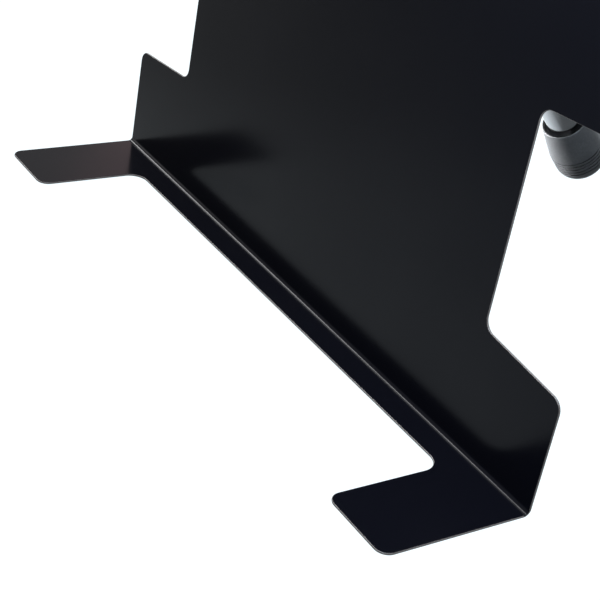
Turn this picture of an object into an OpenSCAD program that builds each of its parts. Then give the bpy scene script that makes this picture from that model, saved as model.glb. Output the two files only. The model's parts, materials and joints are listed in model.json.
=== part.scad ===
// Table stand for a modular synthesizer case: a bent sheet-steel plate that leans back on one folding leg.
// Plate frame: X along the bend, Y out of the plate's back, Z up the plate. The bend's front corner is at zero.
// Leg frame: Z from the pivot to the foot.

/* [Plate] */
// Width of the plate along the bend
plate_w = 480; // [420:10:560]
// Height of the plate above the ledge
plate_h = 340; // [330:5:400]
// Sheet thickness
sheet = 1.5; // [1.5:0.25:2]
// Inner radius of the bend
bend_r = 3; // [2:0.25:4]
// Lean of the plate from the vertical, in degrees
lean = 17; // [14:1:20]

/* [Side notches] */
// Height of the bottom ears at the plate's side
ear_h = 72.4; // [60:0.2:80]
// Depth of each side notch
notch_depth = 68; // [50:1:80]
// Height at the plate's side where it widens again
shoulder_h = 216; // [200:1:230]
// Slope of the notch's two long edges, in degrees
notch_slope = 5.2; // [0:0.1:10]
// Radius of the plate's corners
corner_r = 8; // [5:0.5:10]

/* [Ledge] */
// Depth of the ledge between the tabs, from the plate's front face
ledge_d = 20; // [18:0.5:30]
// Depth of the tabs, from the plate's front face
tab_d = 97.8; // [80:0.2:120]
// Width of each tab
tab_w = 53.2; // [40:0.2:70]
// Radius of the inner corner between ledge and tab
root_r = 11; // [6:0.5:13]

/* [Leg] */
// Angle between the open leg and the plate, in degrees
leg_open = 40; // [38:1:44]
// Distance of the leg's pivot below the plate's top edge
pivot_drop = 29.5; // [27:0.5:40]
// Distance of the pivot behind the plate's front face
pivot_back = 28; // [26:0.5:30]
// Outer diameter of the leg tube
tube_d = 25; // [22:1:26]
// Wall of the leg tube
tube_wall = 1.5; // [1:0.25:2]

/* [Foot cap] */
// Length of the rubber cap, from its mouth to the start of its rounded end
cap_l = 37.4; // [36:0.2:42]
// Length of the smooth flank, from the mouth to the first groove
flank_l = 25.7; // [20:0.1:28]
// Radius of the cap at its mouth
rim_r = 16; // [15:0.1:17]
// Largest radius of the cap, just above its grooves
flare_r = 18.8; // [18.4:0.1:19.5]
// Radius of the cap where its end begins to round
end_r = 18.2; // [17.5:0.1:18.4]
// Rounding of the cap's end
end_round = 12; // [8:0.5:13]
// Number of ring grooves
grooves = 5; // [3:1:6]

/* [Hinge] */
// Gap between the two cheeks
cheek_gap = 32; // [30:0.5:36]
// Thickness of the cheeks
cheek_t = 3; // [2.5:0.25:3.5]
// Height of the cheeks along the plate
cheek_h = 60; // [56:1:64]

/* [Hidden] */
$fn = 72;

// Clearances: close fit within one body, running fit of the pivot, free gap between bodies, cutting overshoot
fit = 0.05;
running = 0.05;
gap = 0.3;
over = 1;
arc_steps = 9;

// Plate outline, right half, as [x, height, corner radius] from the bend upwards
half_w = plate_w / 2;
waist_x = half_w - notch_depth;
notch_rise = notch_depth * tan(notch_slope);
plate_half = [
    [half_w, bend_r, 0],
    [half_w, ear_h, corner_r],
    [waist_x, ear_h + notch_rise, corner_r],
    [waist_x, shoulder_h - notch_rise, corner_r],
    [half_w, shoulder_h, corner_r],
    [half_w, plate_h, corner_r]
];
// Ledge outline, right half, as [x, depth, corner radius] from the bend forwards
tab_x = half_w - tab_w;
ledge_half = [
    [half_w, bend_r, 0],
    [half_w, tab_d, corner_r],
    [tab_x, tab_d, corner_r],
    [tab_x, ledge_d, root_r]
];

// Height of the pivot above the ledge, along the plate
pivot_up = plate_h - pivot_drop;

// Floor under the leaning plate: the bend's outside stays clear of it by this much
bend_lift = 3.15;
floor_drop = bend_r + sheet - bend_r * (cos(lean) + sin(lean)) + bend_lift;

// Leg length from the pivot to the cap's end ring, so that the cap's rounded end just meets the floor
tilt = leg_open - lean;
pivot_y = pivot_up * sin(lean) + pivot_back * cos(lean);
pivot_z = pivot_up * cos(lean) - pivot_back * sin(lean);
core_r = end_r - end_round;
leg_l = (pivot_z + floor_drop - core_r * sin(tilt) - end_round) / cos(tilt);

// The origin lies on the floor under the middle of the whole stand
front_y = -tab_d * cos(lean) - sheet * sin(lean);
back_y = pivot_y + leg_l * sin(tilt) + core_r * cos(tilt) + end_round;
shift = [0, -(front_y + back_y) / 2, floor_drop];

// Leg head and tube, distances from the pivot
tube_r = tube_d / 2;
tube_inner_r = tube_r - tube_wall;
eye_r = 13;
neck_half = 9;
neck_w = 22;
collar_at = 25;
tube_at = 30;
spigot_l = 30;
head_pin_at = tube_at + spigot_l / 2;
head_pin_r = 2.5;
disc_t = 2;
sole_t = 8;
bore_end = leg_l + end_round - sole_t;
tube_end = bore_end - disc_t;

// Foot cap
rim_at = leg_l - cap_l;
rim_bevel = 0.5;
rim_wall = 1.2;
lead_l = 5;
groove_spacing = 2.9;
groove_w = 1.3;
groove_depth = 1.1;
groove_first = rim_at + flank_l;
groove_end = groove_first + (grooves - 1) * groove_spacing + groove_w;

// Pivot hardware, along X
washer_t = 1;
head_w = cheek_gap - 2 * washer_t;
sleeve_r = 6;
bolt_r = 4;
bolt_head_t = 5.3;
bolt_flats = 13;
bolt_nut_t = 8;
pivot_washer_t = 1.6;
pivot_washer_r = 8;
bolt_tail = 1.5;
cheek_out = cheek_gap / 2 + cheek_t;
friction_r = 12;

// Stop pin behind the open leg's neck, in the plate frame
stop_r = 3;
stop_sleeve_r = 4.5;
stop_at = 17;
stop_off = neck_half + stop_sleeve_r + gap;
stop_y = pivot_back + stop_at * sin(leg_open) + stop_off * cos(leg_open);
stop_z = pivot_up - stop_at * cos(leg_open) + stop_off * sin(leg_open);
stop_head_r = 5;
stop_head_t = 2;
stop_boss_r = 9;

// Cheeks, and the studs welded to the plate's back that hold them
cheek_below = 5;
cheek_mid = pivot_up - cheek_below;
flange_w = 22;
cheek_bend_r = 2;
cheek_base_r = 2;
stud_out = 12;
stud_x = cheek_out + stud_out;
stud_dz = 18;
stud_r = 2.5;
stud_foot_r = 3.25;
stud_foot_t = 0.8;
stud_hole_r = 3.5;
stud_tail = 1.5;
nut_t = 4;
nut_flats = 8;
stud_washer_r = 5;
stud_washer_hole_r = 2.75;
washer_at = sheet + cheek_t;
nut_at = washer_at + washer_t;
nut_top = nut_at + nut_t;

// Feet and bumper
foot_w = 28;
foot_in = 12;
foot_near = bend_r + 2;
foot_far = 18;
bumper_at = 240;
bumper_r = 11;
bumper_top_r = 9;
bumper_t = pivot_back - tube_r - sheet - gap;

// Corner arc of a path at q, coming from p and going to n, as a list of points
function unit(v) = v / norm(v);
function arc_corner(p, q, n, r) =
    let (
        a = unit(p - q),
        b = unit(n - q),
        half = acos(a * b) / 2,
        c = q + unit(a + b) * r / sin(half),
        first = q + a * r / tan(half) - c,
        start = atan2(first[1], first[0]),
        sweep = (2 * half - 180) * sign(a[0] * b[1] - a[1] * b[0])
    )
    [for (i = [0 : arc_steps]) c + r * [cos(start + sweep * i / arc_steps), sin(start + sweep * i / arc_steps)]];

function xy(p) = [p[0], p[1]];

// Closed path with its corners rounded by each point's third value
function rounded(path) =
    let (n = len(path))
    [
        for (i = [0 : n - 1])
            let (q = path[i])
            each q[2] > 0
                ? arc_corner(xy(path[(i + n - 1) % n]), xy(q), xy(path[(i + 1) % n]), q[2])
                : [xy(q)]
    ];

// Whole outline from its right half
function both_sides(half) =
    concat(half, [for (i = [len(half) - 1 : -1 : 0]) [-half[i][0], half[i][1], half[i][2]]]);

// Direction of the outer normal on the right side of the tangent from circle a to circle b, each [x, y, r]
function tangent_normal(a, b) =
    let (
        d = xy(b) - xy(a),
        angle = atan2(d[1], d[0]) - acos((a[2] - b[2]) / norm(d))
    )
    [cos(angle), sin(angle)];

// Plate shape stretched round circles that are given in counterclockwise order
module belt(circles) {
    n = len(circles);
    polygon([
        for (i = [0 : n - 1])
            let (
                a = circles[i],
                b = circles[(i + 1) % n],
                side = tangent_normal(a, b)
            )
            each [xy(a) + a[2] * side, xy(b) + b[2] * side]
    ]);
    for (c = circles)
        translate(xy(c)) circle(c[2]);
}

// Solid cylinder along X from x0 to x1
module bar(x0, x1, r) {
    translate([x0, 0, 0]) rotate([0, 90, 0]) cylinder(h = x1 - x0, r = r);
}

// Hexagon prism along X from x0 to x1
module hex_bar(x0, x1, flats) {
    translate([x0, 0, 0]) rotate([0, 90, 0]) cylinder(h = x1 - x0, r = flats / 2 / cos(30), $fn = 6);
}

// Cylinder along Y from y0 to y1
module peg(y0, y1, r) {
    translate([0, y0, 0]) rotate([-90, 0, 0]) cylinder(h = y1 - y0, r = r);
}

module plate_frame() {
    translate(shift) rotate([-lean, 0, 0]) children();
}

module leg_frame() {
    plate_frame() translate([0, pivot_back, pivot_up]) rotate([leg_open, 0, 0]) mirror([0, 0, 1]) children();
}

module at_pivot() {
    plate_frame() translate([0, pivot_back, pivot_up]) children();
}

module at_stop() {
    plate_frame() translate([0, stop_y, stop_z]) children();
}

module at_studs() {
    for (side = [-1, 1], dz = [-stud_dz, stud_dz])
        translate([side * stud_x, 0, cheek_mid + dz]) children();
}

module back_plate() {
    color([0.1, 0.1, 0.11])
    plate_frame()
    union() {
        translate([0, sheet, 0]) rotate([90, 0, 0])
            linear_extrude(sheet) polygon(rounded(both_sides(plate_half)));
        rotate([180, 0, 0])
            linear_extrude(sheet) polygon(rounded(both_sides(ledge_half)));
        translate([-half_w, -bend_r, bend_r]) rotate([0, 90, 0])
            rotate_extrude_quarter(bend_r, bend_r + sheet, plate_w);
    }
}

// Quarter ring about Z, between +X and +Y, of height h
module rotate_extrude_quarter(r0, r1, h) {
    rotate_extrude(angle = 90) translate([r0, 0]) square([r1 - r0, h]);
}

// Right-hand cheek: its flange lies on the plate's back, its wall stands out and carries the pivot and the stop
module hinge_cheek() {
    z0 = cheek_mid - cheek_h / 2;
    outer = cheek_bend_r + cheek_t;
    far_y = stop_y + stop_boss_r;
    difference() {
        union() {
            translate([cheek_gap / 2 + outer, sheet, z0]) cube([flange_w - cheek_bend_r, cheek_t, cheek_h]);
            translate([cheek_gap / 2 + outer, sheet + outer, z0]) rotate(180)
                rotate_extrude_quarter(cheek_bend_r, outer, cheek_h);
            intersection() {
                translate([cheek_gap / 2, sheet + outer, z0]) cube([cheek_t, far_y, cheek_h]);
                translate([cheek_gap / 2 - over, 0, 0]) rotate([90, 0, 90]) linear_extrude(cheek_t + 2 * over)
                    belt([
                        [sheet + cheek_base_r, z0 + cheek_base_r, cheek_base_r],
                        [stop_y, stop_z, stop_boss_r],
                        [sheet + cheek_base_r, z0 + cheek_h - cheek_base_r, cheek_base_r]
                    ]);
            }
        }
        at_studs() peg(0, washer_at + over, stud_hole_r);
        translate([0, pivot_back, pivot_up]) bar(0, cheek_out + over, bolt_r + running);
        translate([0, stop_y, stop_z]) bar(0, cheek_out + over, stop_r + fit);
    }
}

module hinge_cheek_right() {
    color([0.12, 0.12, 0.13]) plate_frame() hinge_cheek();
}

module hinge_cheek_left() {
    color([0.12, 0.12, 0.13]) plate_frame() mirror([1, 0, 0]) hinge_cheek();
}

// Domed head about Z, its flat side at zero
module dome(r, t) {
    ball = (r * r + t * t) / (2 * t);
    intersection() {
        cylinder(h = t, r = r);
        translate([0, 0, t - ball]) sphere(ball);
    }
}

module cheek_studs() {
    color([0.72, 0.45, 0.32])
    plate_frame() at_studs() {
        peg(sheet, sheet + stud_foot_t, stud_foot_r);
        peg(sheet, nut_top + stud_tail, stud_r);
    }
}

module cheek_washers() {
    color([0.7, 0.7, 0.72])
    plate_frame() at_studs()
        difference() {
            peg(washer_at, nut_at, stud_washer_r);
            peg(0, nut_top, stud_washer_hole_r);
        }
}

module cheek_nuts() {
    color([0.7, 0.7, 0.72])
    plate_frame() at_studs()
        difference() {
            translate([0, nut_at, 0]) rotate([-90, 0, 0])
                cylinder(h = nut_t, r = nut_flats / 2 / cos(30), $fn = 6);
            peg(0, nut_top + over, stud_r + fit);
        }
}

module pivot_bolt() {
    under = cheek_out + pivot_washer_t;
    color([0.7, 0.7, 0.72])
    at_pivot() {
        hex_bar(-under - bolt_head_t, -under, bolt_flats);
        bar(-under, under + bolt_nut_t + bolt_tail, bolt_r);
    }
}

module pivot_nut() {
    under = cheek_out + pivot_washer_t;
    color([0.7, 0.7, 0.72])
    at_pivot()
        difference() {
            hex_bar(under, under + bolt_nut_t, bolt_flats);
            bar(0, under + bolt_nut_t + over, bolt_r + fit);
        }
}

module pivot_washers() {
    color([0.7, 0.7, 0.72])
    at_pivot()
        for (side = [0, 1]) mirror([side, 0, 0])
            difference() {
                bar(cheek_out, cheek_out + pivot_washer_t, pivot_washer_r);
                bar(0, cheek_out + pivot_washer_t + over, bolt_r + 2 * fit);
            }
}

module pivot_sleeve() {
    color([0.6, 0.6, 0.62])
    at_pivot()
        difference() {
            bar(-cheek_gap / 2, cheek_gap / 2, sleeve_r);
            bar(-cheek_gap, cheek_gap, bolt_r + fit);
        }
}

module friction_washers() {
    color([0.9, 0.9, 0.88])
    at_pivot()
        for (side = [0, 1]) mirror([side, 0, 0])
            difference() {
                bar(head_w / 2, cheek_gap / 2, friction_r);
                bar(0, cheek_gap, sleeve_r + fit);
            }
}

module stop_pin() {
    color([0.7, 0.7, 0.72])
    at_stop() {
        bar(-cheek_out, cheek_out, stop_r);
        for (side = [0, 1]) mirror([side, 0, 0])
            translate([cheek_out, 0, 0]) rotate([0, 90, 0]) dome(stop_head_r, stop_head_t);
    }
}

module stop_sleeve() {
    color([0.08, 0.08, 0.08])
    at_stop()
        difference() {
            bar(-cheek_gap / 2 + fit, cheek_gap / 2 - fit, stop_sleeve_r);
            bar(-cheek_gap, cheek_gap, stop_r + fit);
        }
}

module leg_head() {
    color([0.1, 0.1, 0.1])
    leg_frame()
        difference() {
            union() {
                bar(-head_w / 2, head_w / 2, eye_r);
                translate([-neck_w / 2, -neck_half, 0]) cube([neck_w, 2 * neck_half, collar_at]);
                translate([0, 0, collar_at]) cylinder(h = tube_at - collar_at, r = tube_r);
                translate([0, 0, tube_at]) cylinder(h = spigot_l, r = tube_inner_r - fit);
            }
            bar(-head_w, head_w, sleeve_r + running);
            translate([0, 0, head_pin_at]) bar(-tube_d, tube_d, head_pin_r);
        }
}

module head_pin() {
    color([0.6, 0.6, 0.62])
    leg_frame() translate([0, 0, head_pin_at]) bar(-tube_r + gap, tube_r - gap, head_pin_r - fit);
}

module leg_tube() {
    color([0.85, 0.85, 0.87])
    leg_frame()
        difference() {
            translate([0, 0, tube_at]) cylinder(h = tube_end - tube_at, r = tube_r);
            translate([0, 0, tube_at - over]) cylinder(h = tube_end, r = tube_inner_r);
            translate([0, 0, head_pin_at]) bar(-tube_d, tube_d, head_pin_r);
        }
}

// Outer radius of the ribs at a distance from the pivot: a slight taper, then the rounded end
function rib_r(z) =
    z < leg_l
        ? end_r + (flare_r - end_r) * (leg_l - z) / (leg_l - groove_first)
        : core_r + sqrt(end_round * end_round - (z - leg_l) * (z - leg_l));

// Cap with a funnel in its mouth that leads the tube into the bore
module foot_cap() {
    color([0.2, 0.2, 0.21])
    leg_frame()
        difference() {
            rotate_extrude() polygon(concat(
                [[0, rim_at], [rim_r - rim_bevel, rim_at], [rim_r, rim_at + rim_bevel]],
                [
                    for (i = [0 : grooves - 1])
                        let (
                            z = groove_first + i * groove_spacing,
                            slope = groove_w / 4
                        )
                        each [
                            [rib_r(z), z],
                            [rib_r(z + slope) - groove_depth, z + slope],
                            [rib_r(z + groove_w - slope) - groove_depth, z + groove_w - slope],
                            [rib_r(z + groove_w), z + groove_w]
                        ]
                ],
                [
                    for (i = [1 : arc_steps])
                        let (
                            a0 = asin(max(0, groove_end - leg_l) / end_round),
                            a = a0 + (90 - a0) * i / arc_steps
                        )
                        [core_r + end_round * cos(a), leg_l + end_round * sin(a)]
                ],
                [[0, leg_l + end_round]]
            ));
            rotate_extrude() polygon([
                [0, rim_at - over],
                [rim_r - rim_wall, rim_at - over],
                [rim_r - rim_wall, rim_at],
                [tube_r + fit, rim_at + lead_l],
                [tube_r + fit, bore_end],
                [0, bore_end]
            ]);
        }
}

module cap_disc() {
    color([0.6, 0.6, 0.62])
    leg_frame() translate([0, 0, tube_end]) cylinder(h = disc_t, r = tube_r - fit);
}

// Wedge under the tab's root: its top follows the sloping ledge, its bottom lies on the floor
module base_foot() {
    difference() {
        plate_frame()
            translate([half_w - foot_in - foot_w, -foot_far, -sheet - foot_far])
                cube([foot_w, foot_far - foot_near, foot_far]);
        translate([0, -plate_w / 2, -plate_w]) cube(plate_w);
    }
}

module base_foot_right() {
    color([0.1, 0.1, 0.1]) base_foot();
}

module base_foot_left() {
    color([0.1, 0.1, 0.1]) mirror([1, 0, 0]) base_foot();
}

module fold_bumper() {
    color([0.1, 0.1, 0.1])
    plate_frame()
        translate([0, sheet, pivot_up - bumper_at]) rotate([-90, 0, 0])
            cylinder(h = bumper_t, r1 = bumper_r, r2 = bumper_top_r);
}

back_plate();
hinge_cheek_left();
hinge_cheek_right();
cheek_studs();
cheek_washers();
cheek_nuts();
pivot_bolt();
pivot_sleeve();
pivot_washers();
friction_washers();
pivot_nut();
stop_pin();
stop_sleeve();
leg_head();
head_pin();
leg_tube();
foot_cap();
cap_disc();
base_foot_left();
base_foot_right();
fold_bumper();
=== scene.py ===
"""Table stand for a modular synthesizer: the finish of its bent plate, folding leg, hinge and feet."""

import json
import math

import bmesh
import bpy
import numpy as np
from mathutils import Matrix, Vector


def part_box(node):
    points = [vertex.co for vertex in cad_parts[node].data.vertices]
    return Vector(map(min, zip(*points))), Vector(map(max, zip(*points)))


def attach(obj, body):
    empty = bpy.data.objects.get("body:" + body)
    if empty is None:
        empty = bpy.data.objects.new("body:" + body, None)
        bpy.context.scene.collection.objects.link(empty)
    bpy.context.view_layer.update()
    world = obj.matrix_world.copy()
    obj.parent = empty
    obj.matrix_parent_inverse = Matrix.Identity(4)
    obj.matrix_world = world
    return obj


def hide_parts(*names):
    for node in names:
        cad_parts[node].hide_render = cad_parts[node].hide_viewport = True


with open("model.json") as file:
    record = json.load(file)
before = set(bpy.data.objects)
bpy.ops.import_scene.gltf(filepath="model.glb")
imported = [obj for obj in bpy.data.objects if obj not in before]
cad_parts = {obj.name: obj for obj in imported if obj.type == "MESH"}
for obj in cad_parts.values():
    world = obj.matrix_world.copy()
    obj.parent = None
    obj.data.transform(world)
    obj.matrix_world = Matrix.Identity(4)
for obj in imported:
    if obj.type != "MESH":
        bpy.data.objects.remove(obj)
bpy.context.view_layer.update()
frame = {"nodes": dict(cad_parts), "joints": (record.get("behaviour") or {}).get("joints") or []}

bl_info = {
    "name": "Synth stand",
    "version": (1, 0, 0),
    "blender": (4, 5, 0),
    "location": "3D View > Sidebar > Stand",
    "description": "Builds a leaning sheet-steel table stand with a folding rear leg",
    "category": "Add Mesh",
}

PLATE_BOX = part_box("back_plate")
PIVOT = Vector(frame["joints"][0]["pos_m"])
MM = 0.001
QUARTER = math.pi / 2

# Edges that turn by more than SHARP are sharp, and faces that differ by less than FLAT lie in one plane
SHARP = math.radians(30)
FLAT = math.radians(0.5)
WELD = 1e-6

# Points that shape the curved parts
ARC_STEPS = 10
BEND_STEPS = 8
GROOVE_STEPS = 24
TIP_STEPS = 14
LIP_STEPS = 9
FLANK_STEPS = 12
CAP_SIDES = 128

# Gap between tube and cap, steepness of a groove's walls, and how far the painted shade of the mouth reaches
# outwards
CAP_GAP = 0.05 * MM
GROOVE_WALL = 6
MOUTH_WALL = 0.4 * MM

# Finish of the smudges, and the colour of the painted shade in the depth of the cap's grooves and its mouth
SMUDGE_ROUGHNESS = 0.3
PAINTED_GROOVE_SHADE_COLOUR = (0.002, 0.002, 0.0025, 1)

# Stage: where the floor behind the plate starts (Y), its left and right part meet (X), and the floor in
# front grows dim towards the left (X), with the directions over which the surround dims to the right (X)
SENSOR = 36.0
FLOOR_REACH = 6.0
# The floor's right part behind the plate is a painted shadow of the plate: darker colour and dimmer white in
# mirrors
BEHIND = (0.04, 0.12)
LEFT_TO_RIGHT = (-0.03, 0.03)
FAR_LEFT = (-0.55, -0.25)
SURROUND_RIGHT = (-0.3, 0.3)
BEND_CENTRE = (0, -0.08, 0)
UPWARDS = (0, 0, 1)
SIDEWAYS = (1, 0, 0)
WHITE = (1, 1, 1)
COOL = (0.75, 0.88, 1.0)
WARM = (1, 0.5, 0.55)

# Lamps as name, place, direction of the first side, target, two sides and colour
LAMPS = (
    ("strip", (-1.36, -0.08, 1.45), (0.9, 0, 0.44), BEND_CENTRE, (1.5, 0.4), WHITE),
    ("above", (0.3, -0.1, 0.55), SIDEWAYS, (0.25, -0.12, 0), (0.25, 0.25), COOL),
    ("low", (-1.5, -0.75, 0.4), UPWARDS, (0, 0.1, 0.05), (0.5, 0.7), WHITE),
    ("side", (-0.16, -0.005, 0.05), UPWARDS, (0, 0.165, 0.035), (0.1, 0.1), WHITE),
    ("left", (-1.5, 1.3, 0.75), UPWARDS, BEND_CENTRE, (1.2, 1.0), WARM),
    ("back", (0.1, 1.5, 1.3), SIDEWAYS, (0, 0.4, 0), (1.6, 0.8), WHITE),
)


class StandPlate(bpy.types.PropertyGroup):
    """Sizes and finish of the bent plate"""

    width: bpy.props.FloatProperty(
        name="Width", description="Width along the bend", unit="LENGTH",
        default=PLATE_BOX[1].x - PLATE_BOX[0].x)
    height: bpy.props.FloatProperty(
        name="Height", description="Height above the ledge", unit="LENGTH", default=340 * MM)
    sheet: bpy.props.FloatProperty(
        name="Sheet", description="Sheet thickness", unit="LENGTH", default=1.5 * MM)
    bend: bpy.props.FloatProperty(
        name="Bend", description="Inner radius of the bend", unit="LENGTH", default=3 * MM)
    lean: bpy.props.FloatProperty(
        name="Lean", description="Lean from the vertical", subtype="ANGLE", default=math.radians(17))
    ear: bpy.props.FloatProperty(
        name="Ear", description="Height of the bottom ears", unit="LENGTH", default=72.4 * MM)
    notch: bpy.props.FloatProperty(
        name="Notch", description="Depth of each side notch", unit="LENGTH", default=68 * MM)
    slope: bpy.props.FloatProperty(
        name="Notch slope", description="Slope of the notch's long edges", subtype="ANGLE",
        default=math.radians(5.2))
    shoulder: bpy.props.FloatProperty(
        name="Shoulder", description="Height where the plate widens again", unit="LENGTH", default=216 * MM)
    corner: bpy.props.FloatProperty(
        name="Corner", description="Radius of the plate's corners", unit="LENGTH", default=8 * MM)
    ledge: bpy.props.FloatProperty(
        name="Ledge", description="Depth of the ledge between the tabs", unit="LENGTH", default=20 * MM)
    tab: bpy.props.FloatProperty(
        name="Tab depth", description="Depth of the tabs", unit="LENGTH", default=97.8 * MM)
    tab_width: bpy.props.FloatProperty(
        name="Tab width", description="Width of each tab", unit="LENGTH", default=53.2 * MM)
    root: bpy.props.FloatProperty(
        name="Tab root", description="Radius between ledge and tab", unit="LENGTH", default=11 * MM)
    rim: bpy.props.FloatProperty(
        name="Rim", description="Rounding of the coated cut edge", unit="LENGTH", default=0.65 * MM)
    colour: bpy.props.FloatVectorProperty(
        name="Coat", description="Colour of the powder coat", subtype="COLOR", size=3,
        default=(0.0016, 0.0017, 0.003))
    edge_colour: bpy.props.FloatVectorProperty(
        name="Cut edge", description="Colour of the thin coat on the cut edge", subtype="COLOR", size=3,
        default=(0.09, 0.078, 0.073))


class StandLeg(bpy.types.PropertyGroup):
    """Sizes and finish of the folding leg and its rubber cap"""

    opening: bpy.props.FloatProperty(
        name="Opening", description="Angle between leg and plate", subtype="ANGLE", default=math.radians(40))
    tube: bpy.props.FloatProperty(
        name="Tube", description="Radius of the tube", unit="LENGTH", default=12.5 * MM)
    cap: bpy.props.FloatProperty(
        name="Cap", description="Length of the cap from its mouth to its rounded end", unit="LENGTH",
        default=37.4 * MM)
    flank: bpy.props.FloatProperty(
        name="Flank", description="Length of the cap's smooth flank", unit="LENGTH", default=25.7 * MM)
    rim: bpy.props.FloatProperty(
        name="Cap mouth", description="Radius of the cap at its mouth", unit="LENGTH", default=16 * MM)
    wall: bpy.props.FloatProperty(
        name="Lip", description="Wall of the cap at its mouth", unit="LENGTH", default=1.2 * MM)
    funnel: bpy.props.FloatProperty(
        name="Funnel", description="Depth of the funnel in the cap's mouth", unit="LENGTH", default=5 * MM)
    sole: bpy.props.FloatProperty(
        name="Sole", description="Rubber under the tube's end", unit="LENGTH", default=8 * MM)
    flare: bpy.props.FloatProperty(
        name="Cap flare", description="Largest radius of the cap", unit="LENGTH", default=18.8 * MM)
    end: bpy.props.FloatProperty(
        name="Cap end", description="Radius of the cap at its end", unit="LENGTH", default=18.2 * MM)
    rounding: bpy.props.FloatProperty(
        name="Rounding", description="Rounding of the cap's end", unit="LENGTH", default=12 * MM)
    grooves: bpy.props.IntProperty(
        name="Grooves", description="Number of ring grooves", default=5)
    pitch: bpy.props.FloatProperty(
        name="Groove pitch", description="Distance from groove to groove", unit="LENGTH", default=2.9 * MM)
    groove: bpy.props.FloatProperty(
        name="Groove width", description="Width of a groove", unit="LENGTH", default=1.3 * MM)
    depth: bpy.props.FloatProperty(
        name="Groove depth", description="Depth of a groove", unit="LENGTH", default=1.1 * MM)
    colour: bpy.props.FloatVectorProperty(
        name="Rubber", description="Colour of the cap", subtype="COLOR", size=3,
        default=(0.075, 0.078, 0.083))


class StandStage(bpy.types.PropertyGroup):
    """Camera, lamps and floor"""

    place: bpy.props.FloatVectorProperty(
        name="Camera", description="Place of the camera", subtype="TRANSLATION", unit="LENGTH", size=3,
        default=(0.68448, -0.43781, 0.61363))
    turn: bpy.props.FloatVectorProperty(
        name="Camera turn", description="Turn of the camera", subtype="EULER", size=3,
        default=(math.radians(51.363), math.radians(4.954), math.radians(58.288)))
    lens: bpy.props.FloatProperty(
        name="Lens", description="Focal length for a sensor 36 mm wide", default=90.798)
    floor: bpy.props.FloatVectorProperty(
        name="Floor", description="Colour of the floor", subtype="COLOR", size=3, default=(0.2, 0.2, 0.2))
    white: bpy.props.FloatProperty(
        name="White floor", description="Share of plain white in the floor that camera and mirrors see",
        default=0.82)
    glow: bpy.props.FloatProperty(
        name="Floor glow", description="Strength of that white", default=1.4)
    glow_colour: bpy.props.FloatVectorProperty(
        name="Glow colour", description="Cool tint of that white", subtype="COLOR", size=3,
        default=(0.88, 0.96, 1.0))
    mirrored: bpy.props.FloatProperty(
        name="Mirrored white", description="Share of the white surroundings that mirrors show", default=0.5)
    distant: bpy.props.FloatProperty(
        name="Mirrored left", description="The same share on the floor at the far left", default=0.2)
    # The floor's painted shadow behind the plate on the right takes this share, for its colour as well as for
    # mirrors
    shaded: bpy.props.FloatProperty(
        name="Mirrored right", description="The same share behind the plate on the right", default=0.1)
    daylight: bpy.props.FloatProperty(
        name="Surround", description="Strength of the pale surround", default=0.2)
    strip: bpy.props.FloatProperty(
        name="Strip", description="Power of the long lamp above the bend", subtype="POWER", default=47)
    above: bpy.props.FloatProperty(
        name="Above", description="Power of the cool lamp above the near tab", subtype="POWER", default=6)
    low: bpy.props.FloatProperty(
        name="Low", description="Power of the low lamp on the front left", subtype="POWER", default=2)
    side: bpy.props.FloatProperty(
        name="Side", description="Power of the low lamp between plate and leg", subtype="POWER", default=2.2)
    left: bpy.props.FloatProperty(
        name="Left", description="Power of the warm lamp far on the left", subtype="POWER", default=2)
    back: bpy.props.FloatProperty(
        name="Back", description="Power of the soft lamp behind", subtype="POWER", default=5)


# Node trees

def link_nodes(tree, source, target):
    """Joins two sockets of a node tree."""
    tree.links.new(source, target)


def feed(tree, value, socket):
    """Links a socket to another one, or sets it to a plain value."""
    if isinstance(value, bpy.types.NodeSocket):
        link_nodes(tree, value, socket)
    else:
        socket.default_value = value


def maths(tree, operation, *values, clamp=False):
    """Result of a Math node whose inputs are numbers or sockets."""
    node = tree.nodes.new("ShaderNodeMath")
    node.operation = operation
    node.use_clamp = clamp
    for value, socket in zip(values, node.inputs):
        feed(tree, value, socket)
    return node.outputs["Value"]


def blend(tree, share, first, second):
    """Colour between a first and a second one. The node's sockets share their names, so they go by number."""
    node = tree.nodes.new("ShaderNodeMix")
    node.data_type = "RGBA"
    feed(tree, share, node.inputs[0])
    feed(tree, first, node.inputs[6])
    feed(tree, second, node.inputs[7])
    return node.outputs[2]


def new_group(name, inputs, outputs):
    """Empty shader node group with named inputs, as (name, kind, default), and outputs, as (name, kind)."""
    tree = bpy.data.node_groups.new(name, "ShaderNodeTree")
    for label, kind, default in inputs:
        socket = tree.interface.new_socket(label, in_out="INPUT", socket_type=kind)
        socket.default_value = default
    for label, kind in outputs:
        tree.interface.new_socket(label, in_out="OUTPUT", socket_type=kind)
    return tree, tree.nodes.new("NodeGroupInput").outputs, tree.nodes.new("NodeGroupOutput").inputs


def noise(tree, scale, detail=4.0, distortion=0.0):
    """Noise on Object coordinates, from a socket that carries its scale."""
    coords = tree.nodes.new("ShaderNodeTexCoord")
    node = tree.nodes.new("ShaderNodeTexNoise")
    node.inputs["Detail"].default_value = detail
    node.inputs["Distortion"].default_value = distortion
    link_nodes(tree, coords.outputs["Object"], node.inputs["Vector"])
    link_nodes(tree, scale, node.inputs["Scale"])
    return node.outputs["Fac"]


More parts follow.
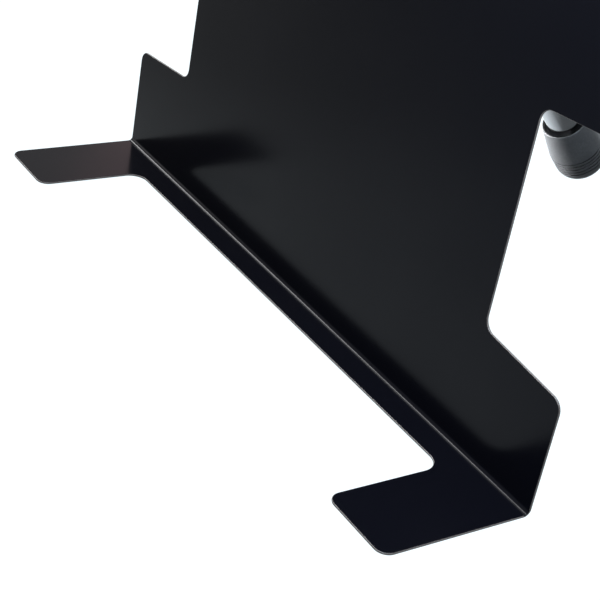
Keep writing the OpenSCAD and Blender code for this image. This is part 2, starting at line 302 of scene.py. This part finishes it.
def grain_group():
    """Fine grain: a small noise raises the surface, and a broad one spreads the roughness."""
    value = "NodeSocketFloat"
    tree, inside, outside = new_group(
        "fine_grain",
        [("Scale", value, 1500.0), ("Height", value, 0.05), ("Clouds", value, 8.0),
         ("Roughness", value, 0.4), ("Spread", value, 0.1)],
        [("Roughness", value), ("Normal", "NodeSocketVector")])
    bump = tree.nodes.new("ShaderNodeBump")
    bump.inputs["Distance"].default_value = 0.1 * MM
    link_nodes(tree, inside["Height"], bump.inputs["Strength"])
    link_nodes(tree, noise(tree, inside["Scale"], detail=2.0), bump.inputs["Height"])
    link_nodes(tree, bump.outputs["Normal"], outside["Normal"])
    centred = maths(tree, "SUBTRACT", noise(tree, inside["Clouds"]), 0.5)
    spread = maths(tree, "MULTIPLY_ADD", centred, inside["Spread"], inside["Roughness"])
    link_nodes(tree, spread, outside["Roughness"])
    return tree


def tint_group():
    """Slow change between two colours by a broad noise, with fine specks of the second on top."""
    colour, value = "NodeSocketColor", "NodeSocketFloat"
    tree, inside, outside = new_group(
        "uneven_colour",
        [("Colour", colour, (0.1, 0.1, 0.1, 1)), ("Second", colour, (0.2, 0.2, 0.2, 1)),
         ("Clouds", value, 6.0), ("Specks", value, 900.0), ("Amount", value, 0.5)],
        [("Colour", colour)])
    both = maths(tree, "MULTIPLY", noise(tree, inside["Clouds"]), noise(tree, inside["Specks"], detail=1.0))
    mask = maths(tree, "MULTIPLY", both, inside["Amount"], clamp=True)
    link_nodes(tree, blend(tree, mask, inside["Colour"], inside["Second"]), outside["Colour"])
    return tree


def smudge_group():
    """Soft blotches, as hands leave on a satin coat: a warped broad noise, cut off low and scaled."""
    value = "NodeSocketFloat"
    tree, inside, outside = new_group(
        "handled_smudges", [("Scale", value, 9.0), ("Start", value, 0.45), ("Amount", value, 0.5)],
        [("Value", value)])
    broad = noise(tree, inside["Scale"], detail=5.0, distortion=0.6)
    raised = maths(tree, "SUBTRACT", broad, inside["Start"], clamp=True)
    link_nodes(tree, maths(tree, "MULTIPLY", raised, inside["Amount"], clamp=True), outside["Value"])
    return tree


def shared_group(name):
    """The named node group, built at its first use."""
    makers = {"fine_grain": grain_group, "uneven_colour": tint_group, "handled_smudges": smudge_group}
    return bpy.data.node_groups.get(name) or makers[name]()


def place_group(tree, name, **values):
    """A copy of a shared group in a material, with its own values."""
    node = tree.nodes.new("ShaderNodeGroup")
    node.node_tree = shared_group(name)
    for label, amount in values.items():
        node.inputs[label].default_value = amount
    return node


def finish(name, colour, second, roughness, metallic=0.0, specular=0.5, grain=(1500.0, 0.05), clouds=8.0,
           spread=0.08, amount=0.6, smudges=0.0):
    """Material of one finish: uneven colour and fine grain on a Principled shader."""
    found = bpy.data.materials.get(name)
    if found:
        return found
    material = bpy.data.materials.new(name)
    material.use_nodes = True
    tree = material.node_tree
    shader = tree.nodes["Principled BSDF"]
    shader.inputs["Metallic"].default_value = metallic
    shader.inputs["Specular IOR Level"].default_value = specular
    shader.inputs["Coat Roughness"].default_value = SMUDGE_ROUGHNESS
    tint = place_group(tree, "uneven_colour", Colour=(*colour, 1), Second=(*second, 1), Clouds=clouds,
                       Specks=grain[0] / 2, Amount=amount)
    link_nodes(tree, tint.outputs["Colour"], shader.inputs["Base Color"])
    texture = place_group(tree, "fine_grain", Scale=grain[0], Height=grain[1], Clouds=clouds,
                          Roughness=roughness, Spread=spread)
    link_nodes(tree, texture.outputs["Roughness"], shader.inputs["Roughness"])
    link_nodes(tree, texture.outputs["Normal"], shader.inputs["Normal"])
    if smudges:
        blotches = place_group(tree, "handled_smudges", Amount=smudges)
        link_nodes(tree, blotches.outputs["Value"], shader.inputs["Coat Weight"])
    return material


def plate_coat(plate):
    """Satin black powder coat of the flat faces."""
    colour = tuple(plate.colour)
    return finish("satin_black_coat", colour, tuple(c * 1.6 for c in colour), 0.18, specular=0.095,
                  grain=(2600.0, 0.12), clouds=5.0, spread=0.1, smudges=0.12)


def edge_coat(plate):
    """The coat over the cut edge: thinner, a little warmer and lighter."""
    colour = tuple(plate.edge_colour)
    return finish("cut_edge_coat", colour, tuple(c * 1.4 for c in colour), 0.42, specular=0.4,
                  grain=(2600.0, 0.15), clouds=30.0)


def cast_coat():
    """Semi-gloss black coat on the die-cast leg head and the cheeks."""
    return finish("cast_black_coat", (0.012, 0.012, 0.013), (0.022, 0.022, 0.023), 0.38, specular=0.4,
                  grain=(1400.0, 0.3), clouds=25.0)


def zinc_plate():
    """Bright zinc plate on the bolt, nuts, washers and pin."""
    return finish("bright_zinc", (0.56, 0.58, 0.62), (0.7, 0.68, 0.6), 0.3, metallic=1.0,
                  grain=(1800.0, 0.08), clouds=60.0, spread=0.2)


def copper_flash():
    """Thin copper on the weld studs."""
    return finish("copper_flash", (0.6, 0.27, 0.14), (0.42, 0.2, 0.11), 0.36, metallic=1.0,
                  grain=(2200.0, 0.12), clouds=90.0, spread=0.15)


def turned_steel():
    """Bare turned steel inside the hinge and the cap."""
    return finish("turned_steel", (0.42, 0.42, 0.43), (0.55, 0.53, 0.5), 0.34, metallic=1.0,
                  grain=(2400.0, 0.12), clouds=80.0, spread=0.15)


def chrome_plate():
    """Bright plated tube."""
    return finish("bright_plated_tube", (0.5, 0.51, 0.53), (0.43, 0.45, 0.47), 0.11, metallic=1.0,
                  grain=(2000.0, 0.01), clouds=14.0, spread=0.05, amount=0.8)


def natural_nylon():
    """Off-white nylon friction washers."""
    return finish("natural_nylon", (0.72, 0.7, 0.64), (0.62, 0.6, 0.54), 0.45, grain=(1200.0, 0.1),
                  clouds=60.0)


def black_nylon():
    """Black nylon sleeve of the stop."""
    return finish("black_nylon", (0.015, 0.015, 0.016), (0.03, 0.03, 0.03), 0.4, grain=(1200.0, 0.15),
                  clouds=60.0)


def cap_rubber(leg):
    """Matte dark grey rubber of the foot cap with a pale bloom, and painted shade that darkens its grooves
    and its mouth to near black.
    """
    colour = tuple(leg.colour)
    material = finish("grey_cap_rubber", colour, tuple(c * 1.9 for c in colour), 0.45, specular=0.45,
                      grain=(1300.0, 0.35), clouds=90.0, spread=0.15, amount=1.4)
    tree = material.node_tree
    base = tree.nodes["Principled BSDF"].inputs["Base Color"]
    # Painted shade: the mesh's mask blends the rubber's colour to near black in the grooves and the mouth's
    # funnel
    pocket = tree.nodes.new("ShaderNodeAttribute")
    pocket.attribute_name = "pocket"
    link_nodes(tree, blend(tree, pocket.outputs["Fac"], base.links[0].from_socket, PAINTED_GROOVE_SHADE_COLOUR), base)
    return material


def foot_rubber():
    """Black rubber of the base feet and the bumper."""
    return finish("black_foot_rubber", (0.016, 0.016, 0.016), (0.035, 0.035, 0.034), 0.62,
                  grain=(1100.0, 0.4), clouds=40.0, spread=0.1)


# Meshes

def add_piece(name, mesh, material, body, replaced):
    """Links a mesh as a piece that rides on a body and stands for CAD nodes."""
    piece = bpy.data.objects.new(name, mesh)
    bpy.context.scene.collection.objects.link(piece)
    mesh.materials.append(material)
    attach(piece, body)
    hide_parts(*replaced)
    return piece


def weld(mesh, flatten=False):
    """Merges doubles and, if asked, joins triangles that lie in one plane."""
    work = bmesh.new()
    work.from_mesh(mesh)
    bmesh.ops.remove_doubles(work, verts=work.verts, dist=WELD)
    if flatten:
        bmesh.ops.dissolve_limit(work, angle_limit=FLAT, verts=work.verts, edges=work.edges)
    work.to_mesh(mesh)
    work.free()


def shade(mesh):
    """Smooth shading, broken at sharp edges."""
    mesh.shade_smooth()
    mesh.set_sharp_from_angle(angle=SHARP)


def round_rims(piece, width, segments=3):
    """Rounds a piece's sharp edges and keeps its flat faces flat to the light."""
    bevel = piece.modifiers.new("rounded_edges", "BEVEL")
    bevel.limit_method = "ANGLE"
    bevel.angle_limit = SHARP
    bevel.width = width
    bevel.segments = segments
    normals = piece.modifiers.new("flat_faces", "WEIGHTED_NORMAL")
    normals.keep_sharp = False
    normals.weight = 80


def grid_faces(rows, columns):
    """Quads between neighbouring rows of a grid whose columns close on themselves, as one index array."""
    row, column = np.meshgrid(np.arange(rows - 1), np.arange(columns), indexing="ij")
    right = (column + 1) % columns
    corners = (row * columns + column, row * columns + right, (row + 1) * columns + right,
               (row + 1) * columns + column)
    return np.stack(corners, axis=-1).reshape(-1, 4)


def lathe(name, profile, sides, matrix):
    """Surface of revolution: point (r, z) of the profile goes to (r cos a, r sin a, z) for each angle a."""
    angle = np.linspace(0, 2 * math.pi, sides, endpoint=False)
    radius, height = profile[:, 0, None], profile[:, 1, None]
    points = np.stack(
        (radius * np.cos(angle), radius * np.sin(angle), np.broadcast_to(height, (len(profile), sides))),
        axis=-1).reshape(-1, 3)
    mesh = bpy.data.meshes.new(name)
    mesh.from_pydata(points, [], grid_faces(len(profile), sides))
    mesh.transform(matrix)
    weld(mesh)
    work = bmesh.new()
    work.from_mesh(mesh)
    bmesh.ops.recalc_face_normals(work, faces=work.faces)
    work.to_mesh(mesh)
    work.free()
    shade(mesh)
    return mesh


def unit(vectors):
    """Rows of an array scaled to length one."""
    return vectors / np.linalg.norm(vectors, axis=-1, keepdims=True)


def rounded_path(points, radii):
    """Open path whose inner corners become arcs: each arc's centre lies on the corner's bisector,
    at radius over the sine of half the corner, and it turns by 180 degrees less the corner."""
    before = unit(points[:-2] - points[1:-1])
    after = unit(points[2:] - points[1:-1])
    half = np.arccos(np.clip((before * after).sum(-1), -1, 1)) / 2
    centre = points[1:-1] + unit(before + after) * (radii / np.sin(half))[:, None]
    first = points[1:-1] + before * (radii / np.tan(half))[:, None] - centre
    start = np.arctan2(first[:, 1], first[:, 0])
    turn = np.sign(before[:, 0] * after[:, 1] - before[:, 1] * after[:, 0])
    share = np.linspace(0, 1, ARC_STEPS + 1)
    angle = start[:, None] + ((2 * half - math.pi) * turn)[:, None] * share
    arcs = centre[:, None] + radii[:, None, None] * np.stack((np.cos(angle), np.sin(angle)), axis=-1)
    return np.concatenate((points[:1], arcs.reshape(-1, 2), points[-1:]))


def both_sides(half, radii):
    """Path from the right end to the left end, from its right half."""
    mirrored = half[::-1] * (-1, 1)
    return np.concatenate((half, mirrored)), np.concatenate((radii, radii[::-1]))


def plate_to_row(plate):
    """Places the plate frame (X along the bend, Y out of the back, Z up the plate) in the row frame."""
    low, high = PLATE_BOX
    cosine, sine = math.cos(plate.lean), math.sin(plate.lean)
    origin = (0, low.y + plate.tab * cosine + plate.sheet * sine, high.z - plate.height * cosine)
    return Matrix.Translation(origin) @ Matrix.Rotation(-plate.lean, 4, "X")


def leg_to_row(plate, leg):
    """Places the leg frame (Z from the pivot to the foot) in the row frame."""
    down = Matrix.Rotation(math.pi + leg.opening - plate.lean, 4, "X")
    return Matrix.Translation(PIVOT) @ down


class STAND_OT_plate(bpy.types.Operator):
    """Build the bent plate with its ledge, tabs, notches and rounded cut edges"""

    bl_idname = "synth_stand.plate"
    bl_label = "Plate"

    def execute(self, context):
        plate = context.scene.stand_plate
        half = plate.width / 2
        waist = half - plate.notch
        rise = plate.notch * math.tan(plate.slope)
        corners = np.array([
            (half, plate.bend), (half, plate.ear), (waist, plate.ear + rise),
            (waist, plate.shoulder - rise), (half, plate.shoulder), (half, plate.height)])
        path, radii = both_sides(corners, np.full(len(corners), plate.corner))
        outline = rounded_path(path, radii[1:-1])
        upright = np.column_stack((outline[:, 0], np.zeros(len(outline)), outline[:, 1]))

        tab = half - plate.tab_width
        corners = np.array([(half, plate.bend), (half, plate.tab), (tab, plate.tab), (tab, plate.ledge)])
        path, radii = both_sides(corners, np.array([0, plate.corner, plate.corner, plate.root]))
        outline = rounded_path(path, radii[1:-1])[::-1]
        ledge = np.column_stack((outline[:, 0], -outline[:, 1], np.zeros(len(outline))))

        angle = np.linspace(0, QUARTER, BEND_STEPS + 1)
        row = np.column_stack((
            np.zeros(len(angle)), plate.bend * (np.cos(angle) - 1), plate.bend * (1 - np.sin(angle))))
        bend = np.stack((row + (half, 0, 0), row - (half, 0, 0)), axis=1).reshape(-1, 3)
        strips = np.arange(BEND_STEPS)[:, None] * 2 + (0, 1, 3, 2)

        points = np.concatenate((upright, ledge, bend))
        polygons = [list(range(len(upright))), list(range(len(upright), len(upright) + len(ledge)))]
        polygons += (strips + len(upright) + len(ledge)).tolist()
        mesh = bpy.data.meshes.new("coated_plate")
        mesh.from_pydata(points, [], polygons)
        weld(mesh)
        mesh.transform(plate_to_row(plate))
        mesh.shade_smooth()
        piece = add_piece("coated_plate", mesh, plate_coat(plate), "stand", ["back_plate"])
        mesh.materials.append(edge_coat(plate))
        wall = piece.modifiers.new("sheet", "SOLIDIFY")
        wall.thickness = plate.sheet
        wall.offset = -1
        wall.use_even_offset = True
        wall.material_offset_rim = 1
        round_rims(piece, plate.rim)
        return {"FINISHED"}


class STAND_OT_foot_cap(bpy.types.Operator):
    """Build the ribbed rubber cap on the leg's end"""

    bl_idname = "synth_stand.foot_cap"
    bl_label = "Foot cap"

    def execute(self, context):
        plate, leg = context.scene.stand_plate, context.scene.stand_leg
        tilt = leg.opening - plate.lean
        core = leg.end - leg.rounding
        length = (PIVOT.z - core * math.sin(tilt) - leg.rounding) / math.cos(tilt)
        rim = length - leg.cap
        bore = leg.tube + CAP_GAP
        bore_end = length + leg.rounding - leg.sole

        first = rim + leg.flank
        last = first + (leg.grooves - 1) * leg.pitch + leg.groove
        along = np.linspace(first, last, leg.grooves * GROOVE_STEPS + 1)
        phase = (along - first) / leg.pitch % 1
        floor = leg.groove / leg.pitch
        cut = np.clip(GROOVE_WALL * np.minimum(phase, floor - phase) / floor, 0, 1)
        cut = cut * cut * (3 - 2 * cut)
        taper = leg.end + (leg.flare - leg.end) * (length - along) / (length - first)
        past = np.clip(along - length, 0, leg.rounding)
        round_end = core + np.sqrt(leg.rounding ** 2 - past ** 2)
        ribs = np.column_stack((np.where(along < length, taper, round_end) - leg.depth * cut, along))

        start = math.asin(max(0, last - length) / leg.rounding)
        turn = np.linspace(start, QUARTER, TIP_STEPS)[1:]
        tip = np.column_stack((core + leg.rounding * np.cos(turn), length + leg.rounding * np.sin(turn)))
        half = leg.wall / 2
        turn = np.linspace(0, math.pi, LIP_STEPS)
        lip = np.column_stack((leg.rim - half - half * np.cos(turn), rim + half - half * np.sin(turn)))
        flank = np.column_stack((
            np.linspace(leg.rim, leg.flare, FLANK_STEPS)[1:],
            np.linspace(rim + half, first, FLANK_STEPS)[1:]))
        inner = np.array([(0, bore_end), (bore, bore_end), (bore, rim + leg.funnel)])
        end = np.array([(0, length + leg.rounding)])
        profile = np.concatenate((inner, lip, flank, ribs, tip, end))
        place = leg_to_row(plate, leg)
        mesh = lathe("ribbed_cap", profile, CAP_SIDES, place)

        points = np.empty(len(mesh.vertices) * 3)
        mesh.vertices.foreach_get("co", points)
        turned = np.array(place.to_3x3())
        x, y, z = ((points.reshape(-1, 3) - place.translation) @ turned).T
        # Painted shade mask: one in the depth of each groove and inside the mouth's funnel, zero elsewhere
        outside = np.hypot(x, y) > leg.rim - MOUTH_WALL
        pocket = np.where(outside, np.sqrt(np.interp(z, along, cut)), z < rim + leg.funnel)
        mesh.attributes.new("pocket", "FLOAT", "POINT").data.foreach_set("value", pocket.astype(np.float32))
        add_piece("ribbed_cap", mesh, cap_rubber(leg), "leg", ["foot_cap"])
        return {"FINISHED"}


def softened(node, name, material, body, width):
    """A copy of a solid's mesh, merged, with its edges rounded by a bevel."""
    source = frame["nodes"][node].data
    points = np.empty(len(source.vertices) * 3)
    source.vertices.foreach_get("co", points)
    corners = np.empty(len(source.loops), dtype=int)
    source.loops.foreach_get("vertex_index", corners)
    mesh = bpy.data.meshes.new(name)
    mesh.from_pydata(points.reshape(-1, 3), [], corners.reshape(-1, 3))
    weld(mesh, flatten=True)
    mesh.shade_smooth()
    round_rims(add_piece(name, mesh, material, body, [node]), width, segments=2)


class STAND_OT_hinge(bpy.types.Operator):
    """Round and finish the cheeks, the leg's head and the fasteners"""

    bl_idname = "synth_stand.hinge"
    bl_label = "Hinge"

    def execute(self, context):
        for side in ("left", "right"):
            node = f"hinge_cheek_{side}"
            softened(node, f"coated_cheek_{side}", cast_coat(), "stand", 0.4 * MM)
        softened("leg_head", "cast_leg_head", cast_coat(), "leg", 0.8 * MM)
        softened("pivot_bolt", "zinc_pivot_bolt", zinc_plate(), "stand", 0.4 * MM)
        softened("pivot_nut", "zinc_pivot_nut", zinc_plate(), "stand", 0.4 * MM)
        softened("cheek_nuts", "zinc_cheek_nuts", zinc_plate(), "stand", 0.25 * MM)
        softened("cheek_washers", "zinc_cheek_washers", zinc_plate(), "stand", 0.15 * MM)
        softened("pivot_washers", "zinc_pivot_washers", zinc_plate(), "stand", 0.2 * MM)
        finishes = {
            "cheek_studs": copper_flash(),
            "stop_pin": zinc_plate(),
            "pivot_sleeve": turned_steel(),
            "head_pin": turned_steel(),
            "cap_disc": turned_steel(),
            "friction_washers": natural_nylon(),
            "stop_sleeve": black_nylon(),
        }
        for node, material in finishes.items():
            frame["nodes"][node].material_slots[0].material = material
        return {"FINISHED"}


class STAND_OT_leg_tube(bpy.types.Operator):
    """Finish the leg's plated tube"""

    bl_idname = "synth_stand.leg_tube"
    bl_label = "Leg tube"

    def execute(self, context):
        softened("leg_tube", "plated_leg_tube", chrome_plate(), "leg", 0.3 * MM)
        return {"FINISHED"}


class STAND_OT_rubber_feet(bpy.types.Operator):
    """Round and finish the base feet and the folding bumper"""

    bl_idname = "synth_stand.rubber_feet"
    bl_label = "Rubber feet"

    def execute(self, context):
        for side in ("left", "right"):
            softened(f"base_foot_{side}", f"rubber_foot_{side}", foot_rubber(), "stand",
                     0.7 * MM)
        softened("fold_bumper", "rubber_bumper", foot_rubber(), "stand", 0.8 * MM)
        return {"FINISHED"}


# Stage

def ramp(tree, value, limits, first, last):
    """Socket that goes from a first to a last share, each a number or a socket, between two limits."""
    node = tree.nodes.new("ShaderNodeMapRange")
    names = ("Value", "From Min", "From Max", "To Min", "To Max")
    for name, source in zip(names, (value, *limits, first, last)):
        feed(tree, source, node.inputs[name])
    return node.outputs["Result"]


def position(tree, output):
    """Sockets of the three coordinates of a floor point or of a direction of the surround."""
    source = tree.nodes.new("ShaderNodeTexCoord")
    parts = tree.nodes.new("ShaderNodeSeparateXYZ")
    link_nodes(tree, source.outputs[output], parts.inputs["Vector"])
    return parts.outputs


def seen_directly(tree, mirrored):
    """Socket that is one for the camera and through glass, a share in mirrors, and zero for other light."""
    path = tree.nodes.new("ShaderNodeLightPath").outputs
    glossy = maths(tree, "MULTIPLY", path["Is Glossy Ray"], mirrored)
    seen = maths(tree, "MAXIMUM", path["Is Camera Ray"], glossy)
    return maths(tree, "MAXIMUM", seen, path["Is Transmission Ray"])


def mix_surfaces(tree, share, first, second, kind):
    """Ends a tree in a mix of two shaders, on an output node of a kind."""
    mix = tree.nodes.new("ShaderNodeMixShader")
    link_nodes(tree, share, mix.inputs["Fac"])
    link_nodes(tree, first, mix.inputs[1])
    link_nodes(tree, second, mix.inputs[2])
    link_nodes(tree, mix.outputs["Shader"], tree.nodes.new(kind).inputs["Surface"])


def make_floor(stage):
    """Wide flat pale floor, lifted to white for the camera. Behind the plate mirrors show it white on the
    leg's left and dim on its right, where a painted shadow of the plate also darkens the floor's colour, and
    in front it grows dim towards the far left."""
    corners = np.array([(-1, -1, 0), (1, -1, 0), (1, 1, 0), (-1, 1, 0)]) * FLOOR_REACH
    mesh = bpy.data.meshes.new("floor")
    mesh.from_pydata(corners, [], [(0, 1, 2, 3)])
    floor = bpy.data.objects.new("floor", mesh)
    bpy.context.scene.collection.objects.link(floor)
    material = bpy.data.materials.new("pale_floor")
    material.use_nodes = True
    tree = material.node_tree
    tree.nodes.clear()
    place = position(tree, "Object")
    # Painted shadow of the plate: right of the leg behind the plate, the floor's white in mirrors drops to
    # the shaded share
    behind = ramp(tree, place["X"], LEFT_TO_RIGHT, 1.0, stage.shaded)
    front = ramp(tree, place["X"], FAR_LEFT, stage.distant, stage.mirrored)
    mirrored = ramp(tree, place["Y"], BEHIND, front, behind)

    # The floor's colour is darkened by the same painted shadow of the plate
    colour = tree.nodes.new("ShaderNodeVectorMath")
    colour.operation = "SCALE"
    colour.inputs[0].default_value = stage.floor
    link_nodes(tree, ramp(tree, place["Y"], BEHIND, 1.0, behind), colour.inputs["Scale"])
    lit = tree.nodes.new("ShaderNodeBsdfDiffuse")
    link_nodes(tree, colour.outputs["Vector"], lit.inputs["Color"])
    glow = tree.nodes.new("ShaderNodeEmission")
    glow.inputs["Color"].default_value = (*stage.glow_colour, 1)
    glow.inputs["Strength"].default_value = stage.glow
    share = maths(tree, "MULTIPLY", seen_directly(tree, mirrored), stage.white)
    mix_surfaces(tree, share, lit.outputs["BSDF"], glow.outputs["Emission"], "ShaderNodeOutputMaterial")
    mesh.materials.append(material)


def make_surround(stage):
    """Surround that is white to the camera and through glass, a share of it in mirrors, and a plain soft
    light elsewhere."""
    world = bpy.data.worlds.new("studio")
    bpy.context.scene.world = world
    world.use_nodes = True
    tree = world.node_tree
    tree.nodes.clear()
    light, white = (tree.nodes.new("ShaderNodeBackground") for _ in range(2))
    for background, strength in ((light, stage.daylight), (white, 1.0)):
        background.inputs["Color"].default_value = (*WHITE, 1)
        background.inputs["Strength"].default_value = strength
    mirrored = ramp(tree, position(tree, "Generated")["X"], SURROUND_RIGHT, stage.mirrored, stage.shaded)
    share = seen_directly(tree, mirrored)
    mix_surfaces(tree, share, light.outputs["Background"], white.outputs["Background"],
                 "ShaderNodeOutputWorld")


def add_softbox(name, place, along, target, size, colour, power):
    """Oblong soft lamp whose first side follows a direction and which looks at a target."""
    lamp = bpy.data.lights.new(name, "AREA")
    lamp.shape = "RECTANGLE"
    lamp.size, lamp.size_y = size
    lamp.energy = power
    lamp.color = colour
    back = (Vector(place) - Vector(target)).normalized()
    side = Vector(along)
    side = (side - side.dot(back) * back).normalized()
    obj = bpy.data.objects.new(name, lamp)
    bpy.context.scene.collection.objects.link(obj)
    turn = Matrix((side, back.cross(side), back)).transposed()
    obj.matrix_world = Matrix.Translation(place) @ turn.to_4x4()
    obj.visible_camera = False


class STAND_OT_stage(bpy.types.Operator):
    """Set the camera, the floor, the surround and the lamps"""

    bl_idname = "synth_stand.stage"
    bl_label = "Stage"

    def execute(self, context):
        stage = context.scene.stand_stage
        camera_data = bpy.data.cameras.new("camera")
        camera_data.sensor_width = SENSOR
        camera_data.lens = stage.lens
        camera = bpy.data.objects.new("camera", camera_data)
        camera.location = stage.place
        camera.rotation_euler = stage.turn
        context.scene.collection.objects.link(camera)
        context.scene.camera = camera
        context.scene.view_settings.view_transform = "Standard"
        make_floor(stage)
        make_surround(stage)
        for name, *lamp in LAMPS:
            add_softbox(name, *lamp, getattr(stage, name))
        return {"FINISHED"}


OPERATORS = (
    STAND_OT_stage,
    STAND_OT_plate,
    STAND_OT_foot_cap,
    STAND_OT_leg_tube,
    STAND_OT_hinge,
    STAND_OT_rubber_feet,
)


class STAND_PT_panel(bpy.types.Panel):
    """Buttons and values of the stand"""

    bl_idname = "STAND_PT_panel"
    bl_label = "Synth stand"
    bl_space_type = "VIEW_3D"
    bl_region_type = "UI"
    bl_category = "Stand"

    def draw(self, context):
        for values in (context.scene.stand_plate, context.scene.stand_leg, context.scene.stand_stage):
            box = self.layout.box()
            for name in values.bl_rna.properties.keys():
                if name not in ("rna_type", "name"):
                    box.prop(values, name)
        for operator in OPERATORS:
            self.layout.operator(operator.bl_idname)


CLASSES = (StandPlate, StandLeg, StandStage, *OPERATORS, STAND_PT_panel)


def register():
    """Registers the classes and puts their values on the scene."""
    for item in CLASSES:
        bpy.utils.register_class(item)
    bpy.types.Scene.stand_plate = bpy.props.PointerProperty(type=StandPlate)
    bpy.types.Scene.stand_leg = bpy.props.PointerProperty(type=StandLeg)
    bpy.types.Scene.stand_stage = bpy.props.PointerProperty(type=StandStage)


def unregister():
    """Takes back what register did."""
    del bpy.types.Scene.stand_stage
    del bpy.types.Scene.stand_leg
    del bpy.types.Scene.stand_plate
    for item in reversed(CLASSES):
        bpy.utils.unregister_class(item)


def main():
    """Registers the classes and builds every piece."""
    register()
    bpy.ops.synth_stand.stage()
    bpy.ops.synth_stand.plate()
    bpy.ops.synth_stand.foot_cap()
    bpy.ops.synth_stand.leg_tube()
    bpy.ops.synth_stand.hinge()
    bpy.ops.synth_stand.rubber_feet()
    bpy.context.view_layer.update()


if __name__ == "__main__":
    main()
